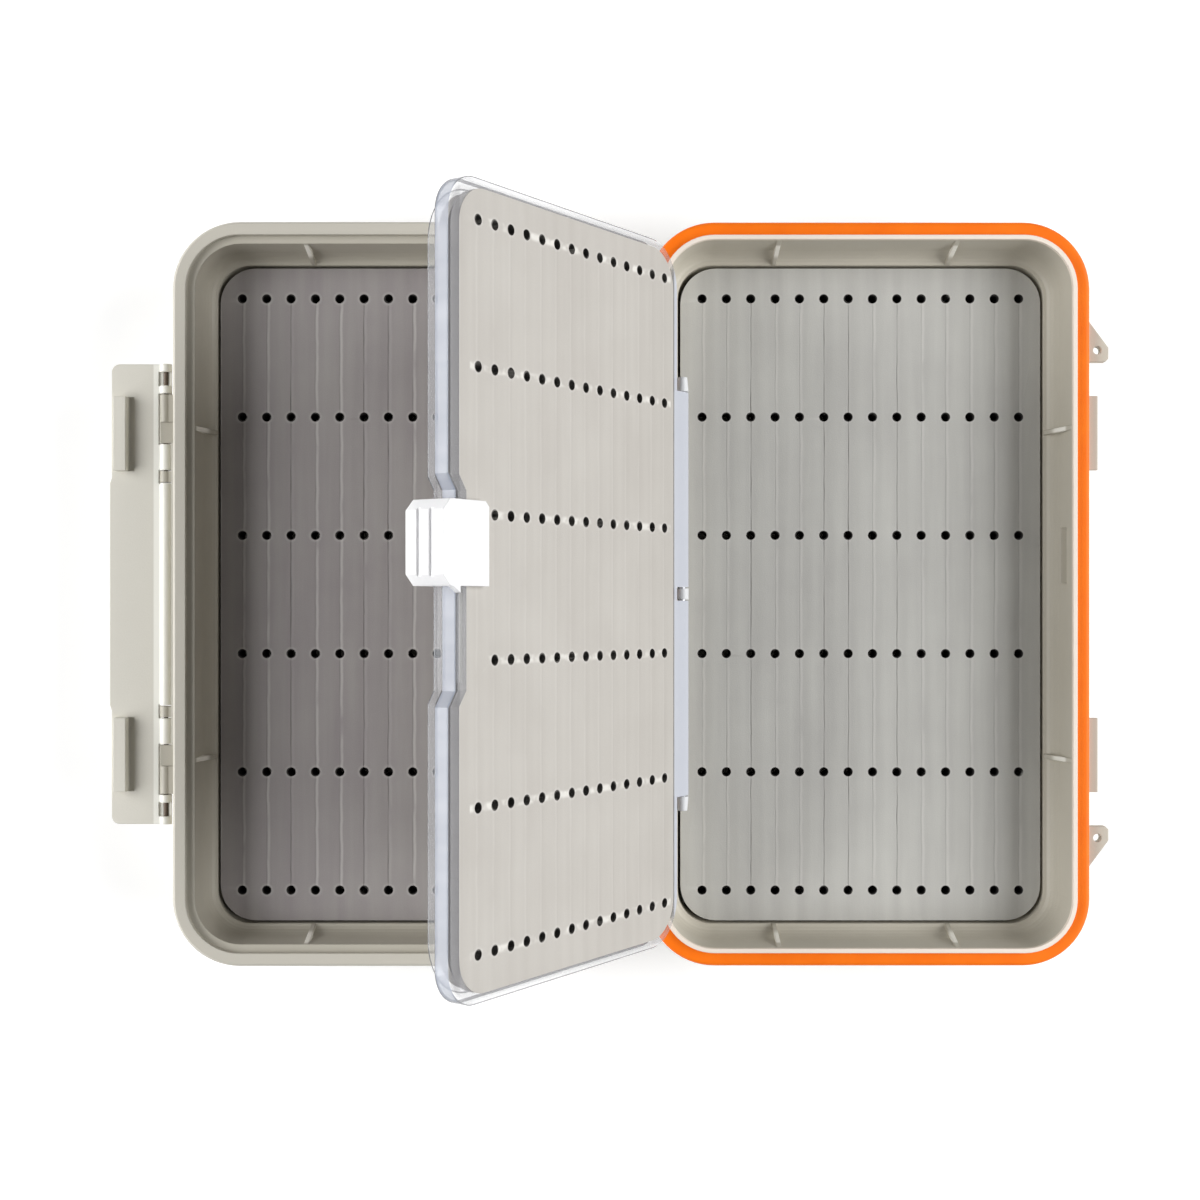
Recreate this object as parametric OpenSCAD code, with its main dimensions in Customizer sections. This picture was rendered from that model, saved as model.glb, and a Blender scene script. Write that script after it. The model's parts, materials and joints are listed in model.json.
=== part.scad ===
// Double-sided fly box with a swing leaf, lying open with its two trays flat, side by side.
// The origin is the middle of the base tray's underside. +Z is up and the lid lies towards -X.
// The leaf stands open over the lid, and the latch flap lies out level from the lid's far side.

/* [Trays] */
// Length of each tray, along the hinge
shell_l = 200; // [180:1:240]
// Width of each tray, across the hinge
shell_w = 119; // [110:1:140]
// Height of each tray, from its underside to its rim
shell_h = 25; // [24:0.5:32]
// Radius of the rim's outer corners
corner_r = 18; // [16:0.5:24]
// Thickness of the side walls
wall = 2.2; // [1.6:0.1:2.8]
// Thickness of the floor
floor_t = 2.4; // [1.6:0.1:3]
// How far the walls lean in before they curve
wall_draft = 0.4; // [0.2:0.1:0.8]
// Depth of the straight part of the walls, below the rim
wall_drop = 7.5; // [6.5:0.5:9]
// Radius round the edge of the underside
foot_round = 2; // [1:0.5:2.4]

/* [Rim] */
// Height of the flange round the rim
flange_h = 5.5; // [5:0.1:7]
// Small chamfer on the flange's edges
flange_chamfer = 0.6; // [0.2:0.1:0.8]
// Width of the base's rim, from its outer face to its opening
base_rim_w = 5; // [4.6:0.1:6]
// Width of the lid's rim, from its outer face to its opening
lid_rim_w = 5.6; // [5.2:0.1:6.6]
// Thickness of the tongue round the base's opening
tongue_t = 1.2; // [1:0.1:1.6]
// Height of the tongue above the rim
tongue_h = 1.2; // [0.8:0.1:1.8]
// Room beside and above the tongue when the box is shut
tongue_play = 0.35; // [0.25:0.05:0.6]
// Height of the seal
seal_h = 2.4; // [1.6:0.1:2.8]
// How far the seal's top lies below the rim plane
seal_low = 0.1; // [0.05:0.05:0.3]
// Gap between the seal and the tongue
seal_gap = 0.1; // [0.05:0.05:0.2]
// Radius of the seal's outer edge
seal_round = 1.2; // [0.4:0.1:1.4]

/* [Ribs] */
// Thickness of the ribs inside the walls
rib_t = 1.2; // [0.8:0.1:2]
// Distance of the ribs on the end walls from the tray's sides
rib_end_in = 35.5; // [30:0.5:44]
// Distance of the ribs on the side walls from the tray's ends
rib_side_in = 55.2; // [48:0.1:64]

/* [Foam inserts] */
// Thickness of the foam in the trays
foam_t = 8.2; // [7:0.1:9]
// Distance of the foam's edge from the tray's outer face
foam_inset = 9.9; // [9:0.1:11]
// Gap round the foam
foam_gap = 0.3; // [0.2:0.05:0.6]
// Diameter of the holes in the foam
hole_d = 2.3; // [1.6:0.1:3]
// Columns of holes across the box
hole_columns = 14; // [8:1:14]
// Rows of holes along the box
hole_rows = 6; // [3:1:7]
// Distance of the outer columns from the sides of the trays' foam
column_margin = 5.7; // [4:0.1:9]
// Distance of the outer rows from the ends of the trays' foam
row_margin = 8.1; // [6:0.1:12]

/* [Main hinge] */
// Gap between the two trays when the box lies open
hinge_gap = 8.5; // [8:0.1:11]
// Radius of the hinge knuckles
hinge_r = 3.4; // [3:0.1:3.6]
// Radius of the hinge pins
hinge_pin_r = 1.2; // [0.8:0.1:1.5]
// Running gap round every pin
pin_fit = 0.05; // [0.02:0.01:0.1]
// Distance of each hinge station from the tray's end
hinge_end_off = 38; // [36:1:60]
// Length of each outer knuckle
hinge_outer_l = 10; // [6:0.5:12]
// Length of each middle knuckle
hinge_middle_l = 13.4; // [8:0.2:16]
// Gap between neighbouring knuckles
knuckle_play = 0.3; // [0.2:0.05:0.5]

/* [Swing leaf] */
// Angle that the leaf has swung, from lying over the base
leaf_open = 124.6; // [95:0.1:126]
// Thickness of the leaf
leaf_t = 6.2; // [5.6:0.1:6.8]
// Distance of the leaf's axis from the base's opening
leaf_axis_in = 4.5; // [4:0.1:6]
// Depth of the leaf's axis below the rim
leaf_axis_low = 0.5; // [0.3:0.1:1]
// Radius of the barrel that the leaf turns on
barrel_r = 1.6; // [1.4:0.05:1.8]
// Distance of the barrel's ends from the leaf's ends
barrel_end_off = 38; // [34:0.5:60]
// Length of the tapered lugs that hold the rod past the barrel's ends
lug_l = 3.9; // [3:0.1:5]
// Radius of the lugs at their outer ends
lug_tip_r = 1.25; // [1.2:0.05:1.4]
// Thickness of the strip between the barrel and the leaf
strip_t = 2; // [1.4:0.1:2.4]
// Distance from the axis to the leaf's thick part
leaf_start = 5.4; // [5.4:0.1:8]
// Gap between the stowed leaf's free edge and the lid's opening
leaf_end_gap = 4.2; // [3.8:0.1:6]
// Gap between the leaf's ends and the lid's opening
leaf_side_gap = 2.4; // [1.8:0.1:3.5]
// Width of the leaf's border at its free edge
border_free = 3.8; // [3.2:0.1:5]
// Width of the leaf's border at its ends
border_side = 1.8; // [1.7:0.1:3]
// Width of the leaf's border at its hinge edge
border_hinge = 1.5; // [1.2:0.1:3]
// Radius of the leaf's front corners at the free edge
leaf_free_r = 9; // [8:0.5:11]
// Radius of the leaf's back corners at the free edge
leaf_back_r = 14; // [12:0.5:15]
// Thickness of the leaf's stepped-in back part
leaf_back_t = 2.4; // [1.8:0.1:2.4]
// How far the back part is stepped in at the free edge and the hinge edge
step_free = 0.5; // [0.2:0.1:0.8]
// How far the back part is stepped in at the leaf's ends
step_side = 1; // [0.4:0.1:1]
// Radius of the leaf's corners at the hinge edge
leaf_hinge_r = 12; // [8:0.5:14]
// Thickness of the sheet between the two foams
web_t = 1; // [0.8:0.1:1.4]
// How far the leaf's foam lies below its border
leaf_foam_low = 0.1; // [0:0.05:0.3]
// Gap round the leaf's foam
leaf_foam_gap = 0.15; // [0.1:0.05:0.3]
// Thickness of the glue under the leaf's foam
glue_t = 0.05; // [0.02:0.01:0.1]
// Distance of the first column from the leaf's border at the hinge edge
leaf_column_start = 4.5; // [3:0.1:8]
// Distance of the last column from the leaf's border at the free edge
leaf_column_end = 6.8; // [4:0.1:9]
// How far the leaf's rows sit off the middle
leaf_row_shift = 0.8; // [0:0.1:2]
// Half of the straight part of the notch in the free edge
notch_half = 22.1; // [21:0.1:30]
// Depth of the notch
notch_d = 2.5; // [1.5:0.1:3]
// Length of the notch's slanted ends
notch_slant = 3.5; // [2:0.1:5]
// Radius of the leaf's rod
rod_r = 0.8; // [0.6:0.05:0.9]
// Width of the eye that holds the rod's middle
eye_l = 3; // [2:0.1:5]

/* [Leaf tab] */
// Length of the tab, along the leaf's edge
tab_l = 19; // [14:0.1:20]
// How far the tab's plates reach over the leaf
tab_reach = 10; // [8:0.1:13]
// Thickness of the tab's front plate
tab_t = 1.5; // [1:0.1:1.8]
// Thickness of the tab's back plate
tab_back_t = 2.6; // [1.5:0.1:2.7]
// Gap between the tab and the leaf
tab_play = 0.2; // [0.15:0.05:0.3]
// Gap between the stowed tab and the lid's opening
tab_gap = 0.6; // [0.4:0.1:1.5]
// Gap between the locked tab and the end of the notch
tab_end_gap = 2.1; // [2:0.1:4]
// Chamfer on the tab's outer corners
tab_chamfer = 2.5; // [0.5:0.1:3]
// Length of the small tooth on the tab's front plate
tooth_l = 1.5; // [0.5:0.1:1.6]
// Width of the small tooth
tooth_w = 2.6; // [1.5:0.1:3]
// Width of the grooves that guide the tab
groove_w = 1.4; // [1:0.1:1.8]
// Depth of the grooves that guide the tab
groove_d = 0.7; // [0.4:0.1:1]
// Depth of the grip grooves on the tab's end
grip_d = 0.5; // [0.2:0.1:0.8]
// How far the stowed tab laps over the ledge that it rests on
ledge_lap = 0.5; // [0.3:0.1:1]
// Length of the ledge
ledge_l = 15; // [8:0.5:18]
// Thickness of the ledge
ledge_t = 1.8; // [1.2:0.1:2.4]

/* [Latch] */
// Distance of the latch's ends from the tray's ends
latch_end_off = 37.5; // [34:0.5:44]
// Distance of the latch's axis from the lid's outer face
latch_out = 3.3; // [2.8:0.1:4.5]
// Depth of the latch's axis below the lid's rim
latch_low = 6; // [5.8:0.1:7]
// How much wider the flap's middle part is
latch_bulge = 0.5; // [0:0.1:1.5]
// Thickness of the flap
latch_t = 2; // [1.4:0.1:2.6]
// Radius of the flap's corners
latch_corner_r = 2.2; // [1:0.1:4]
// Radius of the latch's knuckles
latch_r = 1.6; // [1.4:0.05:1.8]
// Radius of the latch's pins
latch_pin_r = 0.6; // [0.4:0.05:0.8]
// Length of the flap's end knuckles
end_knuckle_l = 8; // [5:0.5:10]
// Length of the round part of the lid's outer eyes
outer_eye_l = 7.5; // [5:0.5:9]
// Length of the low flat part of the lid's outer eyes
low_eye_l = 5.7; // [3:0.1:8]
// Height of the flat part's top above the latch's axis
low_eye_top = 0.9; // [0.8:0.1:1.2]
// Length of the flap's inner knuckles
inner_knuckle_l = 7; // [4:0.5:9]
// Length of the lid's inner eyes
inner_eye_l = 3; // [2:0.5:5]
// Length of the window in each end knuckle
window_l = 3.8; // [2:0.1:4.5]
// Width of each hook, across the flap
hook_w = 3.3; // [2:0.1:4]
// Distance of the hooks from the flap's edge
hook_edge = 1.2; // [0.3:0.1:2]
// Length of each hook
hook_l = 20; // [12:0.5:24]
// Middle of each hook, from the end of the flap
hook_end_off = 19; // [14:0.5:24]
// How far the keepers stand out from the base
keeper_out = 2.7; // [2:0.1:3]
// Thickness of the keepers
keeper_t = 1.5; // [1.2:0.1:2]
// How far the keepers' top lies below the seal's seat
keeper_low = 0.1; // [0.1:0.1:0.5]
// Width of the groove along each hook's inner side
hook_groove_w = 1.7; // [1:0.1:2.2]
// Thickness left under the groove
hook_groove_floor = 0.6; // [0.4:0.1:0.8]
// Gap between the latched hooks and what they pass
hook_play = 0.2; // [0.1:0.05:0.4]
// How far the lid's raised strip stands out behind the latch
strip_out = 0.6; // [0.3:0.1:1]

/* [Lanyard ears] */
// Where each ear starts, past the end of the latch
ear_start = 0.3; // [0.2:0.1:3]
// How far each ear stands out from the base
ear_out = 5.7; // [5:0.1:8]
// Length of each ear, along the base
ear_l = 11.5; // [9:0.1:14]
// Length of each ear's straight outer side
ear_side = 3.8; // [3:0.1:5]
// Chamfer on each ear's outer corner
ear_cut = 0.8; // [0.4:0.1:1.2]
// Thickness of each ear
ear_t = 2.6; // [1.6:0.1:3]
// Radius of the hole in each ear
ear_hole_r = 1.1; // [0.8:0.05:1.3]
// Distance of the ear's hole from the base's outer face
ear_hole_out = 2.7; // [2.2:0.1:3.2]

/* [Hidden] */
$fn = 48;
shell_color = [0.70, 0.69, 0.64];
seal_color = [0.98, 0.46, 0.11];
foam_color = [0.47, 0.47, 0.46];
leaf_color = [0.86, 0.88, 0.93, 0.6];
steel_color = [0.75, 0.76, 0.78];
curve_steps = 6;
skin = 0.8;                 // how deep a boss is rooted in what carries it
over = 1;                   // how far a cut runs past what it cuts

// Trays: radii are measured from the centres of the rim's corners
core_w = shell_w - 2 * corner_r;
core_l = shell_l - 2 * corner_r;
flange_z = shell_h - flange_h;
seat_z = shell_h - seal_low - seal_h;
curve_z = shell_h - wall_drop;
foam_z = floor_t + foam_t;
foam_r = corner_r - foam_inset;
pocket_r = foam_r + foam_gap;
shelf_r = pocket_r + 0.8;
shelf_z = foam_z + 0.2;
base_open_r = corner_r - base_rim_w;
lid_open_r = corner_r - lid_rim_w;
tongue_out_r = base_open_r + tongue_t;
rebate_r = tongue_out_r + tongue_play;
rebate_z = shell_h - tongue_h - tongue_play;
foot_r = pocket_r + wall;

// Ribs, and the holes in the trays' foam
rib_end_off = shell_w / 2 - rib_end_in;
rib_side_off = shell_l / 2 - rib_side_in;
column_pitch = (core_w + 2 * foam_r - 2 * column_margin) / (hole_columns - 1);
row_pitch = (core_l + 2 * foam_r - 2 * row_margin) / (hole_rows - 1);

// Main hinge
hinge_x = -(shell_w + hinge_gap) / 2;
hinge_off = shell_l / 2 - hinge_end_off;
lid_x = 2 * hinge_x;
hinge_l = 2 * hinge_outer_l + hinge_middle_l + 2 * knuckle_play;

// Leaf: its own x runs from the axis to the free edge, and its own z from the front face to the back
leaf_x = -(shell_w / 2 - base_rim_w) + leaf_axis_in;
leaf_z = shell_h - leaf_axis_low;
lid_open_half = shell_w / 2 - lid_rim_w;
leaf_end = lid_open_half - leaf_end_gap - leaf_x;
leaf_half = shell_l / 2 - lid_rim_w - leaf_side_gap;
leaf_front = -barrel_r;
leaf_back = leaf_front + leaf_t;
leaf_middle = (leaf_front + leaf_back) / 2;
web_front = leaf_middle - web_t / 2;
web_back = leaf_middle + web_t / 2;
rail_end = leaf_end - notch_d;
first_column = leaf_start + border_hinge + leaf_column_start;
leaf_column_pitch = (leaf_end - border_free - leaf_column_end - first_column) / (hole_columns - 1);
barrel_half = leaf_half - barrel_end_off;
tab_off = notch_half - tab_end_gap - tab_l / 2;
tab_front = leaf_front - tab_play - tab_t;
tab_back = leaf_back + tab_play + tab_back_t;
tab_tip = lid_open_half - tab_gap - leaf_x;
tab_root = rail_end + tab_play - tab_reach;
groove_at = rail_end - border_free / 2;
rod_half = barrel_half + knuckle_play + lug_l;

// The ledge under the stowed tab
ledge_x = leaf_x + tab_tip - ledge_lap;
ledge_z = leaf_z + tab_front - tab_play;

// Latch
latch_x = lid_x - shell_w / 2 - latch_out;
latch_z = shell_h - latch_low;
latch_l = shell_l - 2 * latch_end_off;
latch_start = latch_r + knuckle_play;
flap_top = latch_out - keeper_out - hook_play;
keeper_z = seat_z - keeper_low - keeper_t;
hook_inner = shell_h + latch_low - keeper_z + hook_play / 2;
hook_outer = hook_inner + hook_w;
hook_top = latch_out - hook_play;
hook_off = latch_l / 2 - hook_end_off;
latch_w = hook_outer + hook_edge;
end_knuckle_y = latch_l / 2 - end_knuckle_l;
outer_eye_y = end_knuckle_y - knuckle_play - outer_eye_l;
low_eye_y = outer_eye_y - low_eye_l;
inner_knuckle_y = low_eye_y - knuckle_play - inner_knuckle_l;
inner_eye_y = inner_knuckle_y - knuckle_play - inner_eye_l;
middle_half = inner_eye_y - knuckle_play;

// A quarter of an oval, from straight down at [r0, z0] to level at [r1, z1]
function bowl(r0, z0, r1, z1) = [
    for (i = [0 : curve_steps])
        [r1 + (r0 - r1) * cos(90 * i / curve_steps), z0 - (z0 - z1) * sin(90 * i / curve_steps)]
];

// The same points in the other order
function turned(points) = [for (i = [len(points) - 1 : -1 : 0]) points[i]];

// A quarter of a circle of radius r round c, from angle a
function quarter(c, r, a) = [
    for (i = [0 : curve_steps]) c + r * [cos(a + 90 * i / curve_steps), sin(a + 90 * i / curve_steps)]
];

// Carries a section round the rim's outline. The section's x is its distance from the corner's centre
module round_the_rim() {
    for (turn = [0, 180])
        rotate([0, 0, turn]) {
            translate([core_w / 2, core_l / 2, 0])
                rotate_extrude(angle = 90) children();
            translate([-core_w / 2, core_l / 2, 0]) rotate([0, 0, 90])
                rotate_extrude(angle = 90) children();
            translate([core_w / 2, core_l / 2, 0])
                rotate([90, 0, 0]) linear_extrude(core_l) children();
            translate([-core_w / 2, core_l / 2, 0])
                rotate([90, 0, 90]) linear_extrude(core_w) children();
        }
}

// The outside of a tray's section, from the middle of its underside up to the flange
function tray_outside(open_r) = concat(
    [[0, 0]],
    quarter([foot_r - foot_round, foot_round], foot_round, -90),
    turned(bowl(open_r - wall_draft + wall, curve_z, shelf_r + wall, shelf_z - wall)),
    [[open_r + wall - wall_draft / 2, flange_z]],
    [[corner_r - flange_chamfer, flange_z]],
    [[corner_r, flange_z + flange_chamfer]]
);

// The inside of a tray's section, from the wall down to the middle of its floor
function tray_inside(open_r) = concat(
    bowl(open_r - wall_draft, curve_z, shelf_r, shelf_z),
    [[pocket_r, floor_t]],
    [[0, floor_t]]
);

// A tray: its section round the rim, and the floor between
module tray(open_r, rim) {
    round_the_rim() polygon(concat(tray_outside(open_r), rim, tray_inside(open_r)));
    translate([-core_w / 2, -core_l / 2, 0]) cube([core_w, core_l, floor_t]);
}

// Places something on the inner side of a wall: x outwards from the corners' centres, y up
module at_wall(side, along) {
    reach = side % 2 == 0 ? core_w / 2 : core_l / 2;
    rotate([0, 0, 90 * side]) translate([reach, along, 0]) rotate([90, 0, 0]) children();
}

// A thin rib that fills the curve under the wall
module rib(open_r, top_z) {
    linear_extrude(rib_t, center = true)
        polygon([[open_r + wall / 2, top_z], [open_r, top_z], [shelf_r, shelf_z],
            [shelf_r + wall / 2, shelf_z]]);
}

module ribs(open_r, top_z) {
    for (side = [0 : 3])
        for (s = [-1, 1])
            at_wall(side, s * (side % 2 == 0 ? rib_side_off : rib_end_off)) rib(open_r, top_z);
}

// A round eye from y0 to y1 on the Y axis, with an arm along x and from z0 to z1
module eye(r, y0, y1, arm, z0, z1) {
    translate([0, y1, 0]) rotate([90, 0, 0]) cylinder(r = r, h = y1 - y0);
    translate([min(0, arm), y0, z0]) cube([abs(arm), y1 - y0, z1 - z0]);
}

// A round bar or a cut along the Y axis, from y0 to y1
module bar(r, y0, y1) {
    translate([0, y1, 0]) rotate([90, 0, 0]) cylinder(r = r, h = y1 - y0);
}

// One knuckle of the main hinge, with an arm that slopes down to the flange, below the seal
module hinge_knuckle(station, from, length, toward) {
    y0 = station * hinge_off - hinge_l / 2 + from;
    root = hinge_gap / 2 + skin;
    arm_top = seat_z - shell_h - seal_gap;
    translate([0, y0 + length, 0]) rotate([90, 0, 0]) linear_extrude(length)
        mirror([toward < 0 ? 1 : 0, 0]) {
            circle(r = hinge_r);
            polygon([[0, 0], [0, -hinge_r], [root, -flange_h], [root, arm_top],
                [hinge_gap / 2 - knuckle_play, arm_top], [hinge_r * cos(30), -hinge_r * sin(30)]]);
        }
}

module hinge_bores() {
    reach = hinge_l / 2 + over;
    for (s = [-1, 1])
        bar(hinge_pin_r + pin_fit, s * hinge_off - reach, s * hinge_off + reach);
}

module hinge_pin(side) {
    color(steel_color) translate([hinge_x, 0, shell_h])
        bar(hinge_pin_r, side * hinge_off - hinge_l / 2, side * hinge_off + hinge_l / 2);
}

// What holds the leaf's rod: an eye in its middle, and a tapered lug past each end of the barrel
module leaf_eyes() {
    arm = -(leaf_axis_in + skin);
    eye(barrel_r, -eye_l / 2, eye_l / 2, arm, -barrel_r, -leaf_axis_low);
    for (s = [-1, 1]) {
        translate([0, s * (rod_half - lug_l), 0]) rotate([-90 * s, 0, 0])
            cylinder(r1 = barrel_r, r2 = lug_tip_r, h = lug_l);
        translate([arm, s > 0 ? rod_half - lug_l : -rod_half, -lug_tip_r])
            cube([-arm, lug_l, lug_tip_r - leaf_axis_low]);
    }
}

// A flat ear with a hole for a lanyard, in the plan, on the +X and +Y side
module ear_plan() {
    y0 = latch_l / 2 + ear_start;
    difference() {
        polygon([[shell_w / 2 - over, y0], [shell_w / 2 + ear_out - ear_cut, y0],
            [shell_w / 2 + ear_out, y0 + ear_cut], [shell_w / 2 + ear_out, y0 + ear_side],
            [shell_w / 2, y0 + ear_l], [shell_w / 2 - over, y0 + ear_l]]);
        translate([shell_w / 2 + ear_hole_out, y0 + ear_hole_r + 2]) circle(r = ear_hole_r);
    }
}

module ears() {
    translate([0, 0, flange_z]) linear_extrude(ear_t) ear_plan();
    translate([0, 0, flange_z]) linear_extrude(ear_t) mirror([0, 1]) ear_plan();
}

module base_shell() {
    rim = [
        [corner_r, seat_z],
        [tongue_out_r, seat_z],
        [tongue_out_r, shell_h + tongue_h],
        [base_open_r, shell_h + tongue_h]
    ];
    color(shell_color) difference() {
        union() {
            tray(base_open_r, rim);
            ribs(base_open_r, shell_h);
            translate([hinge_x, 0, shell_h])
                for (s = [-1, 1])
                    for (from = [0, hinge_l - hinge_outer_l])
                        hinge_knuckle(s, from, hinge_outer_l, 1);
            translate([leaf_x, 0, leaf_z]) leaf_eyes();
            translate([ledge_x, tab_off - ledge_l / 2, ledge_z - ledge_t])
                cube([shell_w / 2 - base_rim_w + skin - ledge_x, ledge_l, ledge_t]);
            for (s = [-1, 1])
                translate([shell_w / 2 - skin, s * hook_off - hook_l / 2, keeper_z])
                    cube([skin + keeper_out, hook_l, keeper_t]);
            ears();
        }
        translate([hinge_x, 0, shell_h]) hinge_bores();
        translate([leaf_x, 0, leaf_z]) bar(rod_r + pin_fit, -rod_half - over, rod_half + over);
    }
}

module seal_ring() {
    r0 = tongue_out_r + seal_gap;
    top = seat_z + seal_h;
    section = concat(
        [[r0, seat_z], [corner_r, seat_z]],
        quarter([corner_r - seal_round, top - seal_round], seal_round, 0),
        [[r0, top]]
    );
    color(seal_color) round_the_rim() polygon(section);
}

// One hole of a foam, in the plan, at x and in the given row, with the rows moved by shift
module hole(x, row, shift = 0) {
    translate([x, (row - (hole_rows - 1) / 2) * row_pitch + shift]) circle(d = hole_d);
}

module tray_foam() {
    translate([0, 0, floor_t]) linear_extrude(foam_t) difference() {
        union() {
            square([core_w + 2 * foam_r, core_l], center = true);
            square([core_w, core_l + 2 * foam_r], center = true);
            for (x = [-1, 1])
                for (y = [-1, 1])
                    translate([x * core_w / 2, y * core_l / 2]) circle(r = foam_r);
        }
        for (i = [0 : hole_columns - 1])
            for (row = [0 : hole_rows - 1])
                hole((i - (hole_columns - 1) / 2) * column_pitch, row);
    }
}

module base_foam() {
    color(foam_color) tray_foam();
}

module lid_foam() {
    color(foam_color) translate([lid_x, 0, 0]) tray_foam();
}

// The lid's eyes for the latch, and the raised strip behind the latch
module latch_eyes() {
    arm = latch_out + corner_r - lid_open_r - wall + skin;
    for (s = [-1, 1])
        for (span = [[outer_eye_y, outer_eye_l], [inner_eye_y, inner_eye_l]]) {
            y0 = s > 0 ? span[0] : -span[0] - span[1];
            eye(latch_r, y0, y0 + span[1], arm, -latch_r, flange_z - latch_z + skin);
        }
    for (s = [-1, 1]) {
        y0 = s > 0 ? low_eye_y : -low_eye_y - low_eye_l;
        difference() {
            eye(latch_r, y0, y0 + low_eye_l, arm, -latch_r, low_eye_top);
            translate([-latch_r - over, y0 - over, low_eye_top])
                cube([2 * latch_r + 2 * over, low_eye_l + 2 * over, latch_r]);
        }
    }
    translate([latch_out - strip_out, -inner_knuckle_y - inner_knuckle_l, flange_z - latch_z + skin])
        cube([strip_out + skin, 2 * (inner_knuckle_y + inner_knuckle_l), flange_h - 2 * skin]);
}

module latch_bores() {
    for (s = [-1, 1])
        bar(latch_pin_r + pin_fit, s > 0 ? middle_half : -latch_l / 2 - over,
            s > 0 ? latch_l / 2 + over : -middle_half);
}

module lid_shell() {
    rim = [
        [corner_r, shell_h - flange_chamfer],
        [corner_r - flange_chamfer, shell_h],
        [rebate_r, shell_h],
        [rebate_r, rebate_z],
        [lid_open_r, rebate_z]
    ];
    color(shell_color) difference() {
        union() {
            translate([lid_x, 0, 0]) tray(lid_open_r, rim);
            translate([lid_x, 0, 0]) ribs(lid_open_r, rebate_z);
            translate([hinge_x, 0, shell_h])
                for (s = [-1, 1])
                    hinge_knuckle(s, hinge_outer_l + knuckle_play, hinge_middle_l, -1);
            translate([latch_x, 0, latch_z]) latch_eyes();
        }
        translate([hinge_x, 0, shell_h]) hinge_bores();
        translate([latch_x, 0, latch_z]) latch_bores();
    }
}

module hinge_pin_upper() {
    hinge_pin(1);
}

module hinge_pin_lower() {
    hinge_pin(-1);
}

// Puts something drawn with the leaf flat over the base where the leaf stands
module at_leaf() {
    translate([leaf_x, 0, leaf_z]) rotate([0, -leaf_open, 0]) children();
}

// The leaf's outline, drawn in by the three margins, with corners of radius r1 at the free edge
module leaf_plan(at_hinge, at_side, at_free, r1) {
    u0 = leaf_start + at_hinge;
    u1 = leaf_end - at_free;
    half = leaf_half - at_side;
    r0 = leaf_hinge_r - at_side;
    polygon([[u0, r0 - half], [u0 + r0, -half], [u1 - r1, -half], [u1, r1 - half],
        [u1, half - r1], [u1 - r1, half], [u0 + r0, half], [u0, half - r0]]);
    for (s = [-1, 1]) {
        translate([u0 + r0, s * (half - r0)]) circle(r = r0);
        translate([u1 - r1, s * (half - r1)]) circle(r = r1);
    }
}

// The notch in the free edge, drawn in by a margin
module notch_plan(at_free) {
    u0 = rail_end - at_free;
    slope = notch_slant / notch_d;
    deep = notch_d + at_free + over;
    polygon([[u0, -notch_half], [u0 + deep, -notch_half - slope * deep],
        [u0 + deep, notch_half + slope * deep], [u0, notch_half]]);
}

// One of the leaf's two pockets, drawn in by a gap
module pocket_plan(r1, gap) {
    difference() {
        leaf_plan(border_hinge + gap, border_side + gap, border_free + gap, r1);
        notch_plan(border_free + gap);
    }
}

// The barrel in two halves, each with the strip that joins it to the leaf
module barrel() {
    length = barrel_half - eye_l / 2 - knuckle_play;
    for (y1 = [barrel_half, -eye_l / 2 - knuckle_play])
        translate([0, y1, 0]) rotate([90, 0, 0]) linear_extrude(length) {
            circle(r = barrel_r);
            translate([0, leaf_front]) square([leaf_start + skin, strip_t]);
        }
}

module leaf_frame() {
    groove_half = tab_off + tab_l / 2 + tab_play;
    color(leaf_color) at_leaf() difference() {
        union() {
            translate([0, 0, leaf_front]) linear_extrude(leaf_t - leaf_back_t)
                leaf_plan(0, 0, 0, leaf_free_r);
            translate([0, 0, leaf_back - leaf_back_t]) linear_extrude(leaf_back_t)
                leaf_plan(step_free, step_side, step_free, leaf_back_r);
            barrel();
        }
        translate([0, 0, leaf_front - over]) linear_extrude(leaf_t + 2 * over) notch_plan(0);
        translate([0, 0, leaf_front - over]) linear_extrude(web_front - leaf_front + over)
            pocket_plan(leaf_free_r, 0);
        translate([0, 0, web_back]) linear_extrude(leaf_back - web_back + over)
            pocket_plan(leaf_back_r - 3, 0);
        for (z = [leaf_front - over, leaf_back - groove_d])
            translate([groove_at - groove_w / 2, -groove_half, z])
                cube([groove_w, 2 * groove_half, groove_d + over]);
        bar(rod_r + pin_fit, -barrel_half - over, barrel_half + over);
    }
}

// One foam of the leaf, from z0 to z1. The last column, along the tab's track, has no middle holes
module leaf_foam(z0, z1, r1) {
    color(foam_color) at_leaf() translate([0, 0, z0]) linear_extrude(z1 - z0) difference() {
        pocket_plan(r1, leaf_foam_gap);
        for (i = [0 : hole_columns - 1])
            for (row = [0 : hole_rows - 1])
                if (i < hole_columns - 1 || abs(row - (hole_rows - 1) / 2) > 1)
                    hole(first_column + i * leaf_column_pitch, row, leaf_row_shift);
    }
}

module leaf_front_foam() {
    leaf_foam(leaf_front + leaf_foam_low, web_front - glue_t, leaf_free_r);
}

module leaf_back_foam() {
    leaf_foam(web_back + glue_t, leaf_back - leaf_foam_low, leaf_back_r - 3);
}

// The tab's outline in the plan, with its two outer corners and one inner corner cut off
module tab_plan(u0) {
    half = tab_l / 2;
    cut = tab_chamfer / 2;
    polygon([[u0, -half], [tab_tip - tab_chamfer, -half], [tab_tip, tab_chamfer - half],
        [tab_tip, half - tab_chamfer], [tab_tip - tab_chamfer, half], [u0 + cut, half],
        [u0, half - cut]]);
}

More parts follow.
